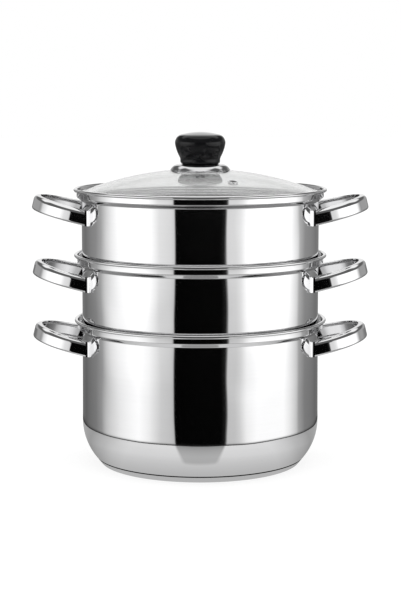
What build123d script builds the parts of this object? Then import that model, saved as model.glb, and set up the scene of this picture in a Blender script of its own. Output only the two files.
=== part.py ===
from build123d import *
import math
import os

# Three-tier steamer pot: a deep pot with a sandwich base, two perforated steamer tiers
# that drop into the collar below them, and a domed glass lid. Lengths are in millimetres
# and angles in degrees. The origin is the centre of the base's underside, +Z is up, and
# the loop handles stand on +X and -X.

# Vessels: the straight bodies, their sheet, and where the lips stand
BODY_RADIUS = 120.0
VESSEL_SHEET = 0.6
POT_LIP_HEIGHT = 147.0
TIER_PITCH = 66.1

# Rolled lip, collar and shoulder, which are alike on all three vessels
BEAD_RADIUS = 1.8
BEAD_TURN = 270.0
COLLAR_STEP = 4.9
COLLAR_DEPTH = 7.2
SHOULDER_DROP = 3.5
SHOULDER_BEND = 1.0

# Pot: a wall that bellies out slightly, a wide lower curve and a sloping foot
POT_BELLY = 0.7
LOWER_CURVE_RADIUS = 58.0
FOOT_SLOPE = 51.5
FOOT_BEND = 2.4
FOOT_RUN = 0.7

# Sandwich base: an aluminium core inside a pressed steel cap
BASE_THICKNESS = 6.8
CAP_SHEET = 0.6
CAP_BEND = 2.4
CAP_GROOVE = 0.4
CORE_CLEARANCE = 0.1

# Steamer tiers: a rounded bottom edge and a hexagonal field of steam holes
TIER_CORNER_BEND = 9.4
STEAM_HOLE_RADIUS = 3.5
STEAM_HOLE_PITCH = 22.0
STEAM_HOLE_RINGS = 4
SEAT_CLEARANCE = 0.3

# Loop handles: one channel strap each, with its flanges turned towards the vessel
LOOP_RADIUS = 51.0
LOOP_TILT = 14.0
LOOP_SETBACK = 0.6
POT_LOOP_DROP = 22.2
TIER_LOOP_DROP = 23.8
STRAP_HEIGHT = 15.2
STRAP_SHEET = 1.2
STRAP_FLANGE = 6.0
STRAP_UPPER_BEND = 3.5
STRAP_LOWER_BEND = 1.0

# Weld tabs: the strap's ends turn outwards and lie on the vessel's wall
WELD_BEND = 4.0
WELD_CLEARANCE = 0.1
TAB_LENGTH = 13.0
TAB_HEIGHT = 17.5
TAB_SHOULDER_SPACE = 0.8
TAB_NOSE = 2.2

# Lid glass: a shallow dome with a central hole and a steam vent
GLASS_EDGE_SPACE = 1.9
GLASS_RISE = 22.6
GLASS_THICKNESS = 4.0
GLASS_BORE_RADIUS = 4.5
GLASS_CLEARANCE = 0.1
VENT_DISTANCE = 75.5
VENT_ANGLE = -65.0

# Lid rim: a steel band that grips the glass and hems down onto the collar's shoulder
RIM_OVERHANG = 2.0
RIM_SHEET = 0.5
RIM_LEG = 2.6
RIM_TOP_FLANGE = 5.2
RIM_UNDER_FLANGE = 6.0
RIM_HEM_WIDTH = 2.0
RIM_HEM_BEND = 0.3
RIM_TOP_BEND = 1.0

# Vent eyelet: a rolled tube with a flange on each side of the glass
EYELET_FLANGE_RADIUS = 5.15
EYELET_BORE_RADIUS = 3.0
EYELET_SHEET = 0.6

# Knob: a short neck, a side that flares and straightens, a rounded brim and a crowned top
KNOB_HEIGHT = 32.3
KNOB_NECK_RADIUS = 20.1
KNOB_NECK_HEIGHT = 5.7
KNOB_NECK_BEND = 3.0
KNOB_FLARE = 26.6
KNOB_FLARE_BEND = 6.0
KNOB_FLANK_HEIGHT = 13.8
KNOB_FLANK_FLARE = 11.3
KNOB_FLANK_BEND = 42.0
KNOB_BRIM_BEND = 8.6
KNOB_CROWN = 1.9
KNOB_CROWN_RADIUS = 16.5
KNOB_WALL = 4.0
KNOB_RECESS_DEPTH = 9.0

# Knob fittings on the axis, from the dish above the glass to the screw head below it
DISH_RADIUS = 30.4
DISH_BROW_RADIUS = 28.9
DISH_BROW_BEND = 2.0
DISH_SLOPE = 20.0
DISH_TOP_RADIUS = 20.2
DISH_SHEET = 0.8
DISH_BEND = 6.0
SPACER_RADIUS = 14.0
SPACER_THICKNESS = 4.05
SEAL_RADIUS = 11.0
SEAL_THICKNESS = 1.5
WASHER_RADIUS = 9.5
WASHER_THICKNESS = 1.2
SCREW_RADIUS = 2.5
SCREW_HEAD_RADIUS = 4.8
SCREW_HEAD_HEIGHT = 3.0
SCREW_HEAD_BEND = 1.2
SCREW_LENGTH = 22.0
SLOT_WIDTH = 1.2
SLOT_DEPTH = 1.3
INSERT_RADIUS = 5.0
INSERT_LENGTH = 17.0
INSERT_GROOVE = 0.6
INSERT_GROOVE_WIDTH = 2.0
THREAD_CLEARANCE = 0.1
BORE_CLEARANCE = 0.3
CUT_OVERRUN = 2.0


def bent_sheet(corners, bends, thickness, curl_radius=None, curl_turn=None):
    """Section of a bent sheet, as a face in the radius-height plane.

    corners are the sharp corners of its right-hand face in the direction of travel, bends
    the inside bend radius at each corner between the ends. The sheet lies to the left. A
    curl rolls the last end over to the right, round the given inside radius.
    """
    points = [Vector(x, y) for x, y in corners]
    headings = [(b - a).normalized() for a, b in zip(points, points[1:])]
    normals = [Vector(-heading.Y, heading.X) for heading in headings]
    far_points = [points[0] + normals[0] * thickness]
    near_radii = []
    far_radii = []
    for index, bend in enumerate(bends):
        before, after = normals[index], normals[index + 1]
        mitre = (before + after) * (thickness / (1 + before.dot(after)))
        far_points.append(points[index + 1] + mitre)
        turns_left = headings[index].cross(headings[index + 1]).Z > 0
        near_radii.append(bend + thickness if turns_left else bend)
        far_radii.append(bend if turns_left else bend + thickness)
    far_points.append(points[-1] + normals[-1] * thickness)
    near = FilletPolyline(*points, radius=near_radii)
    far = FilletPolyline(*far_points, radius=far_radii)
    edges = [*near.edges(), *far.edges(), Line(points[0], far_points[0])]
    if curl_radius is None:
        edges.append(Line(points[-1], far_points[-1]))
    else:
        centre = points[-1] - normals[-1] * curl_radius
        start = math.degrees(math.atan2(normals[-1].Y, normals[-1].X))
        near_curl = CenterArc(centre, curl_radius, start, -curl_turn)
        far_curl = CenterArc(centre, curl_radius + thickness, start, -curl_turn)
        edges += [near_curl, far_curl, Line(near_curl @ 1, far_curl @ 1)]
    return make_face(Wire(edges))


def turned(section):
    """Solid of a section turned once round the vertical axis."""
    return revolve(Plane.XZ * section, Axis.Z)


def ring(inner_radius, outer_radius, bottom, top):
    """Flat-ended ring round the vertical axis."""
    section = Polyline(
        (inner_radius, bottom), (outer_radius, bottom), (outer_radius, top), (inner_radius, top), close=True
    )
    return turned(make_face(section))


# Vessels

COLLAR_RADIUS = BODY_RADIUS + COLLAR_STEP
SHOULDER_ANGLE = math.degrees(math.atan2(SHOULDER_DROP, COLLAR_STEP))
SHOULDER_DEPTH = COLLAR_DEPTH + SHOULDER_DROP


def lip_height(tier):
    """Height of the bead's middle: tier 0 is the pot, 1 and 2 the steamers."""
    return POT_LIP_HEIGHT + tier * TIER_PITCH


def rim_corners(lip):
    """Corners of the shoulder and collar below a lip, from the body's top up to the bead."""
    return [
        (BODY_RADIUS, lip - SHOULDER_DEPTH),
        (COLLAR_RADIUS, lip - COLLAR_DEPTH),
        (COLLAR_RADIUS, lip),
    ]


def vessel(floor_corners, floor_bends, lip):
    """Vessel turned from its floor's corners and the common shoulder, collar and lip."""
    section = bent_sheet(
        floor_corners + rim_corners(lip),
        floor_bends + [SHOULDER_BEND, SHOULDER_BEND],
        VESSEL_SHEET,
        BEAD_RADIUS - VESSEL_SHEET,
        BEAD_TURN,
    )
    return turned(section)


def pot_foot():
    """Corners of the pot's outer face at the foot and where the slope meets the wall."""
    slope = math.radians(FOOT_SLOPE)
    wall_turn = math.radians(90 - FOOT_SLOPE)
    foot_tangent = (FOOT_BEND + VESSEL_SHEET) * math.tan(slope / 2)
    wall_tangent = LOWER_CURVE_RADIUS * math.tan(wall_turn / 2)
    length = foot_tangent + FOOT_RUN + wall_tangent
    wall_radius = BODY_RADIUS + POT_BELLY
    foot = (wall_radius - length * math.cos(slope), BASE_THICKNESS)
    wall = (wall_radius, BASE_THICKNESS + length * math.sin(slope))
    return foot, wall


def pot_wall_radius(height):
    """Outer radius of the pot's leaning wall at a height."""
    bottom_radius, bottom = pot_foot()[1]
    top = lip_height(0) - SHOULDER_DEPTH
    share = (height - bottom) / (top - bottom)
    return bottom_radius + share * (BODY_RADIUS - bottom_radius)


def pot_shell():
    """Pot with its rolled lip, seat shoulder, bellied wall, sloping foot and floor."""
    foot, wall = pot_foot()
    bends = [FOOT_BEND, LOWER_CURVE_RADIUS - VESSEL_SHEET]
    return vessel([(0, BASE_THICKNESS), foot, wall], bends, lip_height(0))


def slope_radius(height):
    """Radius of the foot's slope, carried on down to the base, at a height."""
    foot_radius, foot_height = pot_foot()[0]
    return foot_radius - (foot_height - height) / math.tan(math.radians(FOOT_SLOPE))


def base_cap():
    """Pressed cup that closes the sandwich base, flush with the foot's slope."""
    top = BASE_THICKNESS - CAP_GROOVE
    corners = [(0, 0), (slope_radius(0), 0), (slope_radius(top), top)]
    section = bent_sheet(corners, [CAP_BEND], CAP_SHEET)
    return turned(section) & ring(0, BODY_RADIUS, 0, top)


def base_core():
    """Aluminium heat-spreading disc between the pot's floor and the cap."""
    skin = CAP_SHEET / math.sin(math.radians(FOOT_SLOPE)) + CORE_CLEARANCE
    corners = [
        (0, CAP_SHEET),
        (slope_radius(CAP_SHEET) - skin, CAP_SHEET),
        (slope_radius(BASE_THICKNESS) - skin, BASE_THICKNESS),
        (0, BASE_THICKNESS),
    ]
    section = FilletPolyline(*corners, radius=[CAP_BEND, FOOT_BEND])
    return turned(make_face(Wire([*section.edges(), Line(corners[-1], corners[0])])))


def seat_edge(lip):
    """Centre and radius of the rounded inner edge where a shoulder meets its wall."""
    tangent = SHOULDER_BEND * math.tan(math.radians(90 - SHOULDER_ANGLE) / 2)
    return (BODY_RADIUS + SHOULDER_BEND, lip - SHOULDER_DEPTH - tangent), SHOULDER_BEND + VESSEL_SHEET


def tier_bottom(tier):
    """Underside height of a tier whose rounded corner rests on the shoulder below."""
    (edge_radius, edge_height), edge_bend = seat_edge(lip_height(tier - 1))
    corner = TIER_CORNER_BEND + VESSEL_SHEET
    across = edge_radius - (BODY_RADIUS - corner)
    reach = corner + edge_bend + SEAT_CLEARANCE
    return edge_height + math.sqrt(reach**2 - across**2) - corner


def hole_places():
    """Centres of the steam holes, a hexagon of rings round a central hole."""
    places = []
    for row in range(-STEAM_HOLE_RINGS, STEAM_HOLE_RINGS + 1):
        count = 2 * STEAM_HOLE_RINGS + 1 - abs(row)
        for column in range(count):
            x = (column - (count - 1) / 2) * STEAM_HOLE_PITCH
            places.append((x, row * STEAM_HOLE_PITCH * math.sqrt(3) / 2))
    return places


def steamer_shell(tier):
    """Steamer tier with a rounded bottom edge and a floor full of steam holes."""
    bottom = tier_bottom(tier)
    shell = vessel([(0, bottom), (BODY_RADIUS, bottom)], [TIER_CORNER_BEND], lip_height(tier))
    holes = Sketch() + [Pos(x, y) * Circle(STEAM_HOLE_RADIUS) for x, y in hole_places()]
    drill = extrude(holes, VESSEL_SHEET + 2 * CUT_OVERRUN)
    return shell - Pos(0, 0, bottom - CUT_OVERRUN) * drill


# Handles


def strap_loop():
    """Channel strap bent round a half circle, with a straight leg at each end."""
    inner = LOOP_RADIUS - STRAP_FLANGE
    half = STRAP_HEIGHT / 2
    corners = [(inner, -half), (LOOP_RADIUS, -half), (LOOP_RADIUS, half), (inner, half)]
    section = Plane.XZ * bent_sheet(corners, [STRAP_LOWER_BEND, STRAP_UPPER_BEND], STRAP_SHEET)
    bend = revolve(section.rotate(Axis.Z, -90), Axis.Z, 180)
    leg = extrude(section.rotate(Axis.Z, 90), LOOP_RADIUS, dir=(-1, 0, 0))
    return bend + leg + mirror(leg, Plane.XZ)


def weld_bend_centre(wall_radius):
    """Centre, in plan, of the bend between a leg and its tab."""
    y = LOOP_RADIUS + WELD_BEND
    distance = wall_radius + WELD_CLEARANCE + STRAP_SHEET + WELD_BEND
    return math.sqrt(distance**2 - y**2), y


def root_plan(wall_radius, leg_end):
    """Plan of one strap end: the tab along the wall, the bend and the start of the leg."""
    wall_face = wall_radius + WELD_CLEARANCE
    x, y = weld_bend_centre(wall_radius)
    bend_angle = math.degrees(math.atan2(y, x))
    tab_angle = math.degrees(math.asin((LOOP_RADIUS + TAB_LENGTH + TAB_NOSE) / wall_face))
    sides = []
    for layer in (0, STRAP_SHEET):
        tab_radius = wall_face + STRAP_SHEET - layer
        leg_y = LOOP_RADIUS - layer
        tab = CenterArc((0, 0), tab_radius, bend_angle, tab_angle - bend_angle)
        bend = CenterArc((x, y), WELD_BEND + layer, bend_angle + 180, 90 - bend_angle)
        sides.append([tab, bend, Line((x, leg_y), (leg_end, leg_y))])
    outer, inner = sides
    ends = [Line(outer[0] @ 1, inner[0] @ 1), Line(outer[2] @ 1, inner[2] @ 1)]
    return make_face(Wire([*outer, *inner, *ends]))


def root_outline(wall_radius, centre_height, leg_end, lip):
    """Side view of a strap end: the tilted strap running into its half-moon tab."""
    x, y = weld_bend_centre(wall_radius)
    centre = wall_radius - LOOP_SETBACK
    half = STRAP_HEIGHT / 2 / math.cos(math.radians(LOOP_TILT))
    rise = math.tan(math.radians(LOOP_TILT))
    bend_start = x - WELD_BEND
    tab_end = math.sqrt(wall_radius**2 - (LOOP_RADIUS + TAB_LENGTH) ** 2)
    tab_top = lip - SHOULDER_DEPTH - TAB_SHOULDER_SPACE
    tab_bottom = tab_top - TAB_HEIGHT

    def strap_height(at):
        return centre_height + (at - centre) * rise

    upper_end = (leg_end, strap_height(leg_end) + half)
    upper_start = (x - WELD_BEND / 2, strap_height(x - WELD_BEND / 2) + half)
    moon_top = (bend_start - TAB_NOSE, tab_top)
    moon_side = (tab_end, (tab_top + tab_bottom) / 2)
    moon_bottom = (bend_start - TAB_NOSE / 2, tab_bottom)
    lower_start = (bend_start, strap_height(leg_end) - half)
    lower_end = (leg_end, strap_height(leg_end) - half)
    edges = [
        Line(upper_end, upper_start),
        Line(upper_start, moon_top),
        ThreePointArc(moon_top, moon_side, moon_bottom),
        Line(moon_bottom, lower_start),
        Line(lower_start, lower_end),
        Line(lower_end, upper_end),
    ]
    return make_face(Wire(edges))


def right_handle(lip, wall_radius, drop):
    """Right-hand loop handle, tilted up and welded below a vessel's shoulder."""
    centre = wall_radius - LOOP_SETBACK
    centre_height = lip - drop
    tilt = math.radians(LOOP_TILT)
    leg_start = weld_bend_centre(wall_radius)[0]
    leg_end = leg_start + STRAP_SHEET
    outwards = (math.cos(tilt), 0, math.sin(tilt))
    upwards = (-math.sin(tilt), 0, math.cos(tilt))
    frame = Plane((centre, 0, centre_height), outwards, upwards)
    keep = Pos(leg_start, 0, lip) * Box(
        LOOP_RADIUS * 2, LOOP_RADIUS * 3, LOOP_RADIUS * 3, align=(Align.MIN, Align.CENTER, Align.CENTER)
    )
    strap = frame * strap_loop() & keep
    depth = LOOP_RADIUS * 2
    plan = Pos(0, 0, lip - depth / 2) * extrude(root_plan(wall_radius, leg_end), depth / 2)
    outline = extrude(Plane.XZ * root_outline(wall_radius, centre_height, leg_end, lip), -depth)
    root = plan & outline
    return strap + root + mirror(root, Plane.XZ)


# Lid


def top_seat_slope(radius):
    """Height of the top shoulder's inner face at a radius on its slope."""
    (edge_radius, edge_height), edge_bend = seat_edge(lip_height(2))
    slope = math.radians(SHOULDER_ANGLE)
    start = edge_radius - edge_bend * math.sin(slope)
    return edge_height + edge_bend * math.cos(slope) + (radius - start) * math.tan(slope)


RIM_RADIUS = BODY_RADIUS + RIM_OVERHANG
GLASS_RADIUS = RIM_RADIUS - RIM_SHEET - GLASS_EDGE_SPACE
HEM_BEND = RIM_HEM_BEND + RIM_SHEET
HEM_TOUCH_RADIUS = RIM_RADIUS - HEM_BEND
HEM_LIFT = (HEM_BEND + SEAT_CLEARANCE) / math.cos(math.radians(SHOULDER_ANGLE))
HEM_BOTTOM = top_seat_slope(HEM_TOUCH_RADIUS) + HEM_LIFT - HEM_BEND
GLASS_EDGE_HEIGHT = HEM_BOTTOM + RIM_LEG + GLASS_THICKNESS
GLASS_APEX = GLASS_EDGE_HEIGHT + GLASS_RISE
DOME_RADIUS = (GLASS_RADIUS**2 + GLASS_RISE**2) / (2 * GLASS_RISE)
DOME_CENTRE = GLASS_APEX - DOME_RADIUS


def dome_height(radius, depth=0.0):
    """Height of the glass's upper face, or of a surface a depth below it, at a radius."""
    return DOME_CENTRE + math.sqrt((DOME_RADIUS - depth) ** 2 - radius**2)


def dome_arc(inner_radius, outer_radius, depth=0.0):
    """Arc of the dome's section between two radii, at a depth below its upper face."""
    middle = (inner_radius + outer_radius) / 2
    places = [(radius, dome_height(radius, depth)) for radius in (inner_radius, middle, outer_radius)]
    return ThreePointArc(*places)


def vent_place():
    """Plane on the glass's upper face at the vent, with its normal outwards."""
    angle = math.radians(VENT_ANGLE)
    x, y = VENT_DISTANCE * math.cos(angle), VENT_DISTANCE * math.sin(angle)
    point = Vector(x, y, dome_height(VENT_DISTANCE))
    normal = point - Vector(0, 0, DOME_CENTRE)
    return Plane(point, z_dir=normal)


def lid_glass():
    """Domed glass with its edge square to the dome, a central bore and a vent hole."""
    edge_share = 1 - GLASS_THICKNESS / DOME_RADIUS
    upper = dome_arc(GLASS_BORE_RADIUS, GLASS_RADIUS)
    lower = dome_arc(GLASS_BORE_RADIUS, GLASS_RADIUS * edge_share, GLASS_THICKNESS)
    edges = [upper, lower, Line(upper @ 0, lower @ 0), Line(upper @ 1, lower @ 1)]
    glass = turned(make_face(Wire(edges)))
    vent = Cylinder(EYELET_BORE_RADIUS + EYELET_SHEET + BORE_CLEARANCE, GLASS_THICKNESS * 3)
    return glass - vent_place() * vent


def lid_rim():
    """Steel band: a flange under the glass, a hem on the shoulder, a flange over the edge."""
    under_radius = GLASS_RADIUS - RIM_UNDER_FLANGE
    leg_radius = RIM_RADIUS - RIM_HEM_WIDTH
    over_radius = RIM_RADIUS - RIM_TOP_FLANGE
    under = GLASS_THICKNESS + GLASS_CLEARANCE + RIM_SHEET
    over = -GLASS_CLEARANCE - RIM_SHEET
    corners = [
        (under_radius, dome_height(under_radius, under)),
        (leg_radius, dome_height(leg_radius, under)),
        (leg_radius, HEM_BOTTOM),
        (RIM_RADIUS, HEM_BOTTOM),
        (RIM_RADIUS, dome_height(RIM_RADIUS, over)),
        (over_radius, dome_height(over_radius, over)),
    ]
    bends = [RIM_HEM_BEND, RIM_HEM_BEND, RIM_HEM_BEND, RIM_TOP_BEND]
    return turned(bent_sheet(corners, bends, RIM_SHEET))


def vent_eyelet():
    """Rolled eyelet in the glass: a tube with a flange above and a flange below."""
    tube_radius = EYELET_BORE_RADIUS
    over = GLASS_CLEARANCE + EYELET_SHEET
    under = -GLASS_THICKNESS - GLASS_CLEARANCE - EYELET_SHEET
    corners = [
        (EYELET_FLANGE_RADIUS, under),
        (tube_radius, under),
        (tube_radius, over),
        (EYELET_FLANGE_RADIUS, over),
    ]
    bend = EYELET_SHEET / 2
    section = bent_sheet(list(reversed(corners)), [bend, bend], EYELET_SHEET)
    return vent_place() * turned(section)


DISH_TOP = GLASS_APEX + SPACER_THICKNESS + DISH_SHEET


def knob_spacer():
    """Silicone ring between the glass and the dish, seated on the dome."""
    bore = SCREW_RADIUS + BORE_CLEARANCE
    seat = dome_arc(bore, SPACER_RADIUS)
    top = GLASS_APEX + SPACER_THICKNESS
    upper = Line((bore, top), (SPACER_RADIUS, top))
    edges = [seat, upper, Line(seat @ 0, upper @ 0), Line(seat @ 1, upper @ 1)]
    return turned(make_face(Wire(edges)))


def knob_dish():
    """Pressed steel dish under the knob: a steep edge just clear of the glass, then a slope."""
    bore = SCREW_RADIUS + BORE_CLEARANCE
    edge_height = dome_height(DISH_RADIUS - DISH_SHEET) + GLASS_CLEARANCE + DISH_SHEET / 2
    brow_drop = (DISH_BROW_RADIUS - DISH_TOP_RADIUS) * math.tan(math.radians(DISH_SLOPE))
    corners = [
        (DISH_RADIUS, edge_height),
        (DISH_BROW_RADIUS, DISH_TOP - brow_drop),
        (DISH_TOP_RADIUS, DISH_TOP),
        (bore, DISH_TOP),
    ]
    return turned(bent_sheet(corners, [DISH_BROW_BEND, DISH_BEND], DISH_SHEET))


def knob_body():
    """Moulded knob with a hollow underside and a pocket for its threaded insert."""
    base = DISH_TOP
    top = base + KNOB_HEIGHT
    neck_top = base + KNOB_NECK_HEIGHT
    flank_height = base + KNOB_FLANK_HEIGHT
    flank_radius = KNOB_NECK_RADIUS + (flank_height - neck_top) * math.tan(math.radians(KNOB_FLARE))
    crown_edge = top - KNOB_CROWN
    widening = math.tan(math.radians(KNOB_FLANK_FLARE))
    fall = math.tan(2 * math.atan2(KNOB_CROWN, KNOB_CROWN_RADIUS))
    brim_rise = crown_edge - flank_height - (flank_radius - KNOB_CROWN_RADIUS) * fall
    brim_rise /= 1 + widening * fall
    side = FilletPolyline(
        (0, base),
        (KNOB_NECK_RADIUS, base),
        (KNOB_NECK_RADIUS, neck_top),
        (flank_radius, flank_height),
        (flank_radius + brim_rise * widening, flank_height + brim_rise),
        (KNOB_CROWN_RADIUS, crown_edge),
        radius=[KNOB_NECK_BEND, KNOB_FLARE_BEND, KNOB_FLANK_BEND, KNOB_BRIM_BEND],
    )
    sphere = (KNOB_CROWN_RADIUS**2 + KNOB_CROWN**2) / (2 * KNOB_CROWN)
    middle = KNOB_CROWN_RADIUS / 2
    crown = ThreePointArc(
        (KNOB_CROWN_RADIUS, crown_edge),
        (middle, top - sphere + math.sqrt(sphere**2 - middle**2)),
        (0, top),
    )
    knob = turned(make_face(Wire([*side.edges(), crown, Line((0, top), (0, base))])))
    boss = INSERT_RADIUS + KNOB_WALL
    recess = ring(boss, KNOB_NECK_RADIUS - KNOB_WALL, base - CUT_OVERRUN, base + KNOB_RECESS_DEPTH)
    pocket = ring(0, INSERT_RADIUS, base - CUT_OVERRUN, base + INSERT_LENGTH)
    return knob - recess - pocket


def knob_insert():
    """Threaded brass insert in the knob, grooved so that the moulding grips it."""
    bottom = DISH_TOP
    bore = SCREW_RADIUS + THREAD_CLEARANCE
    insert = ring(bore, INSERT_RADIUS, bottom, bottom + INSERT_LENGTH)
    middle = bottom + INSERT_LENGTH / 2
    inner = INSERT_RADIUS - INSERT_GROOVE
    groove = ring(inner, INSERT_RADIUS * 2, middle - INSERT_GROOVE_WIDTH / 2, middle + INSERT_GROOVE_WIDTH / 2)
    return insert - groove


UNDER_APEX = GLASS_APEX - GLASS_THICKNESS
SEAL_BOTTOM = UNDER_APEX - SEAL_THICKNESS
WASHER_BOTTOM = SEAL_BOTTOM - WASHER_THICKNESS


def glass_seal():
    """Silicone ring under the glass, its upper face following the dome."""
    bore = SCREW_RADIUS + BORE_CLEARANCE
    seat = dome_arc(bore, SEAL_RADIUS, GLASS_THICKNESS)
    lower = Line((bore, SEAL_BOTTOM), (SEAL_RADIUS, SEAL_BOTTOM))
    edges = [seat, lower, Line(seat @ 0, lower @ 0), Line(seat @ 1, lower @ 1)]
    return turned(make_face(Wire(edges)))


def screw_washer():
    """Plain steel washer between the screw's head and the seal."""
    return ring(SCREW_RADIUS + BORE_CLEARANCE, WASHER_RADIUS, WASHER_BOTTOM, SEAL_BOTTOM)


def knob_screw():
    """Pan-head screw from below the glass up into the knob's insert."""
    head_bottom = WASHER_BOTTOM - SCREW_HEAD_HEIGHT
    top = WASHER_BOTTOM + SCREW_LENGTH
    corners = [
        (0, head_bottom),
        (SCREW_HEAD_RADIUS, head_bottom),
        (SCREW_HEAD_RADIUS, WASHER_BOTTOM),
        (SCREW_RADIUS, WASHER_BOTTOM),
        (SCREW_RADIUS, top),
        (0, top),
    ]
    screw = turned(make_face(Polyline(*corners, close=True)))
    rim = screw.faces().sort_by(Axis.Z)[0].edges()
    screw = fillet(rim, SCREW_HEAD_BEND)
    slot = Box(SCREW_HEAD_RADIUS * 3, SLOT_WIDTH, SLOT_DEPTH * 2)
    return screw - Pos(0, 0, head_bottom) * slot


def main():
    """Build every piece and write one STEP file for each."""
    pieces = {
        "pot_shell": pot_shell(),
        "base_core": base_core(),
        "base_cap": base_cap(),
        "lower_steamer_shell": steamer_shell(1),
        "upper_steamer_shell": steamer_shell(2),
        "lid_glass": lid_glass(),
        "lid_rim": lid_rim(),
        "vent_eyelet": vent_eyelet(),
        "knob_dish": knob_dish(),
        "knob_spacer": knob_spacer(),
        "knob": knob_body(),
        "knob_insert": knob_insert(),
        "glass_seal": glass_seal(),
        "screw_washer": screw_washer(),
        "knob_screw": knob_screw(),
    }
    weld_height = lip_height(0) - SHOULDER_DEPTH - STRAP_HEIGHT * 2
    wall_radii = [pot_wall_radius(weld_height), BODY_RADIUS, BODY_RADIUS]
    drops = [POT_LOOP_DROP, TIER_LOOP_DROP, TIER_LOOP_DROP]
    for tier, name in enumerate(("pot", "lower", "upper")):
        handle = right_handle(lip_height(tier), wall_radii[tier], drops[tier])
        pieces[f"{name}_handle_right"] = handle
        pieces[f"{name}_handle_left"] = mirror(handle, Plane.YZ)
    os.makedirs("parts", exist_ok=True)
    for name, piece in pieces.items():
        export_step(piece, f"parts/{name}.step")


main()
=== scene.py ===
import logging
import math
from dataclasses import dataclass
from enum import Enum
from typing import Any

import bpy
from mathutils import Matrix, Vector


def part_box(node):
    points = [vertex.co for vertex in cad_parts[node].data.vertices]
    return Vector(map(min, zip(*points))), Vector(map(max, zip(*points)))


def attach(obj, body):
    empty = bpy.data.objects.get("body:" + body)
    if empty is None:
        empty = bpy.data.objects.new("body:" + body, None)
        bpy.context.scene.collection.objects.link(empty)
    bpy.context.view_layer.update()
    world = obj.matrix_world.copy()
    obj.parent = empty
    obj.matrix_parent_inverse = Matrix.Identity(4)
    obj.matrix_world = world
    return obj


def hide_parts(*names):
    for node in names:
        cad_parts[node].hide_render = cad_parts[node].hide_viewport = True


# Three-tier steamer pot: the looks of its steel, glass and black knob. Lengths are in
# metres, angles in degrees, and the camera stands on -Y.

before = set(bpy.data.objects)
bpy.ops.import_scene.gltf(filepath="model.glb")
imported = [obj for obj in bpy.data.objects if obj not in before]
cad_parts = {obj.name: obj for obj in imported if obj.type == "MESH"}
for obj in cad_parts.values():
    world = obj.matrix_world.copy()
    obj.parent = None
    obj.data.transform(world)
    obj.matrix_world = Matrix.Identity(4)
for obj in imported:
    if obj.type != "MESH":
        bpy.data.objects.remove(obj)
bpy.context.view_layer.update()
log = logging.getLogger("steamer")

TURN_STEPS = 192
BEND_STEP = 9.0
BEND_LENGTH = 0.0015
BEND_SUPPORT = 0.0003
SMOOTH_ANGLE = 28.0
WELD_DISTANCE = 2e-6
SEED_SIZE = 0.001
FEWEST_ARC_STEPS = 2
HALF = 0.5
FULL_TURN = 360.0
HALF_TURN = 180.0
QUARTER_TURN = 90.0
HEXAGON_RISE = math.sqrt(3) / 2
MM_PER_METRE = 1000
MIX_COLOURS = (6, 7)
MIX_RESULT = 2
Point = tuple[float, float]
Stops = tuple[Point, ...]
Colour = tuple[float, float, float]


class Floor(Enum):
    """What a vessel's floor is like."""

    SOLID = "solid"
    PERFORATED = "perforated"


# Shader maths


class Wire:
    """An output socket that adds Math nodes when it is used in an expression."""

    def __init__(self, shader: "Shader", socket: bpy.types.NodeSocket) -> None:
        """Wraps one socket of a shader's tree."""
        self.shader = shader
        self.socket = socket

    def math(self, operation: str, *values: Any) -> "Wire":
        """Adds one Math node.

        Args:
            operation: the node's operation.
            values: its inputs in order, each a number or another wire.

        Returns:
            The node's output.
        """
        return self.shader.node("ShaderNodeMath", {"operation": operation}, dict(enumerate(values)))

    def __add__(self, other: Any) -> "Wire":
        """Sum."""
        return self.math("ADD", self, other)

    __radd__ = __add__

    def __sub__(self, other: Any) -> "Wire":
        """Difference."""
        return self.math("SUBTRACT", self, other)

    def __rsub__(self, other: Any) -> "Wire":
        """Difference from a number."""
        return self.math("SUBTRACT", other, self)

    def __mul__(self, other: Any) -> "Wire":
        """Product."""
        return self.math("MULTIPLY", self, other)

    __rmul__ = __mul__

    def __truediv__(self, other: Any) -> "Wire":
        """Quotient."""
        return self.math("DIVIDE", self, other)

    def __pow__(self, other: Any) -> "Wire":
        """Power."""
        return self.math("POWER", self, other)

    def __lt__(self, other: Any) -> "Wire":
        """1 where this is less than the other, else 0."""
        return self.math("LESS_THAN", self, other)

    def __neg__(self) -> "Wire":
        """The same with its sign changed."""
        return self * -1.0

    def __abs__(self) -> "Wire":
        """The same without its sign."""
        return self.math("ABSOLUTE", self)

    def clamped(self) -> "Wire":
        """The same, kept between 0 and 1."""
        return self.math("MINIMUM", self.math("MAXIMUM", self, 0.0), 1.0)


def reach(x: Wire, y: Wire) -> Wire:
    """Distance from the Z axis."""
    return (x * x + y * y) ** HALF


def bearing(x: Wire, y: Wire) -> Wire:
    """Angle round the Z axis from the camera's side, in radians."""
    return x.math("ARCTAN2", x, -y)


def between(first: Any, second: Any, share: Wire) -> Wire:
    """Value that goes from the first to the second as the share goes from 0 to 1."""
    return (1.0 - share) * first + share * second


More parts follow.
